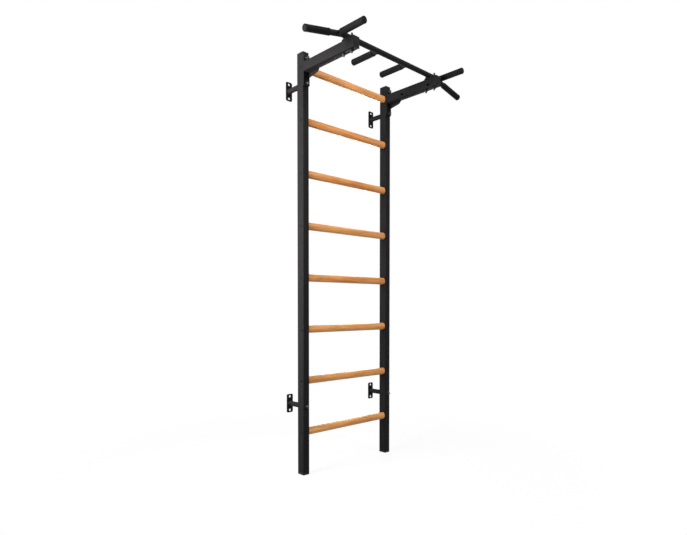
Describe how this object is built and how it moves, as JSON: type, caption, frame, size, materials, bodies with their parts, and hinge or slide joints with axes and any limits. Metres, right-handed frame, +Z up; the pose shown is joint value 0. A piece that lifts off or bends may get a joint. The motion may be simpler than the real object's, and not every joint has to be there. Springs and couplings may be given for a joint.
{
  "type": "swedish wall bars",
  "caption": "Wall-mounted steel ladder with oval beech rungs and a bolted-on pull-up bar with rubber grips, for climbing, stretching and pull-ups.",
  "frame": {"origin": "on the floor line in the plane of the wall, midway between the uprights", "axes": "+X along the rungs to the right as seen from the room, +Y into the wall, +Z up"},
  "size_m": [1.174, 0.629, 2.2],
  "materials": {
    "powder_coat": "fine-textured satin black powder coat",
    "beech": "clear-lacquered beech",
    "cap_plastic": "matt black",
    "grip_rubber": "matt black",
    "fastener_steel": "black zinc plating"
  },
  "bodies": {
    "root": {"left_arm": "powder_coat", "left_flange_bolt": "fastener_steel", "left_flange_nut": "fastener_steel", "left_foot": "cap_plastic", "left_forward_sleeve": "grip_rubber", "left_forward_spur": "powder_coat", "left_front_lower_nut": "fastener_steel", "left_front_stud": "fastener_steel", "left_front_upper_nut": "fastener_steel", "left_inner_sleeve": "grip_rubber", "left_inner_spur": "powder_coat", "left_outer_sleeve": "grip_rubber", "left_rear_lower_nut": "fastener_steel", "left_rear_stud": "fastener_steel", "left_rear_upper_nut": "fastener_steel", "left_saddle": "powder_coat", "left_top_cap": "cap_plastic", "left_upright": "powder_coat", "lower_left_dome_nut": "fastener_steel", "lower_left_wall_bracket": "powder_coat", "lower_right_dome_nut": "fastener_steel", "lower_right_wall_bracket": "powder_coat", "pull_up_bar": "powder_coat", "right_arm": "powder_coat", "right_flange_bolt": "fastener_steel", "right_flange_nut": "fastener_steel", "right_foot": "cap_plastic", "right_forward_sleeve": "grip_rubber", "right_forward_spur": "powder_coat", "right_front_lower_nut": "fastener_steel", "right_front_stud": "fastener_steel", "right_front_upper_nut": "fastener_steel", "right_inner_sleeve": "grip_rubber", "right_inner_spur": "powder_coat", "right_outer_sleeve": "grip_rubber", "right_rear_lower_nut": "fastener_steel", "right_rear_stud": "fastener_steel", "right_rear_upper_nut": "fastener_steel", "right_saddle": "powder_coat", "right_top_cap": "cap_plastic", "right_upright": "powder_coat", "rung_1": "beech", "rung_2": "beech", "rung_3": "beech", "rung_4": "beech", "rung_5": "beech", "rung_6": "beech", "rung_7": "beech", "rung_8": "beech", "upper_left_dome_nut": "fastener_steel", "upper_left_wall_bracket": "powder_coat", "upper_right_dome_nut": "fastener_steel", "upper_right_wall_bracket": "powder_coat"}
  },
  "joints": []
}
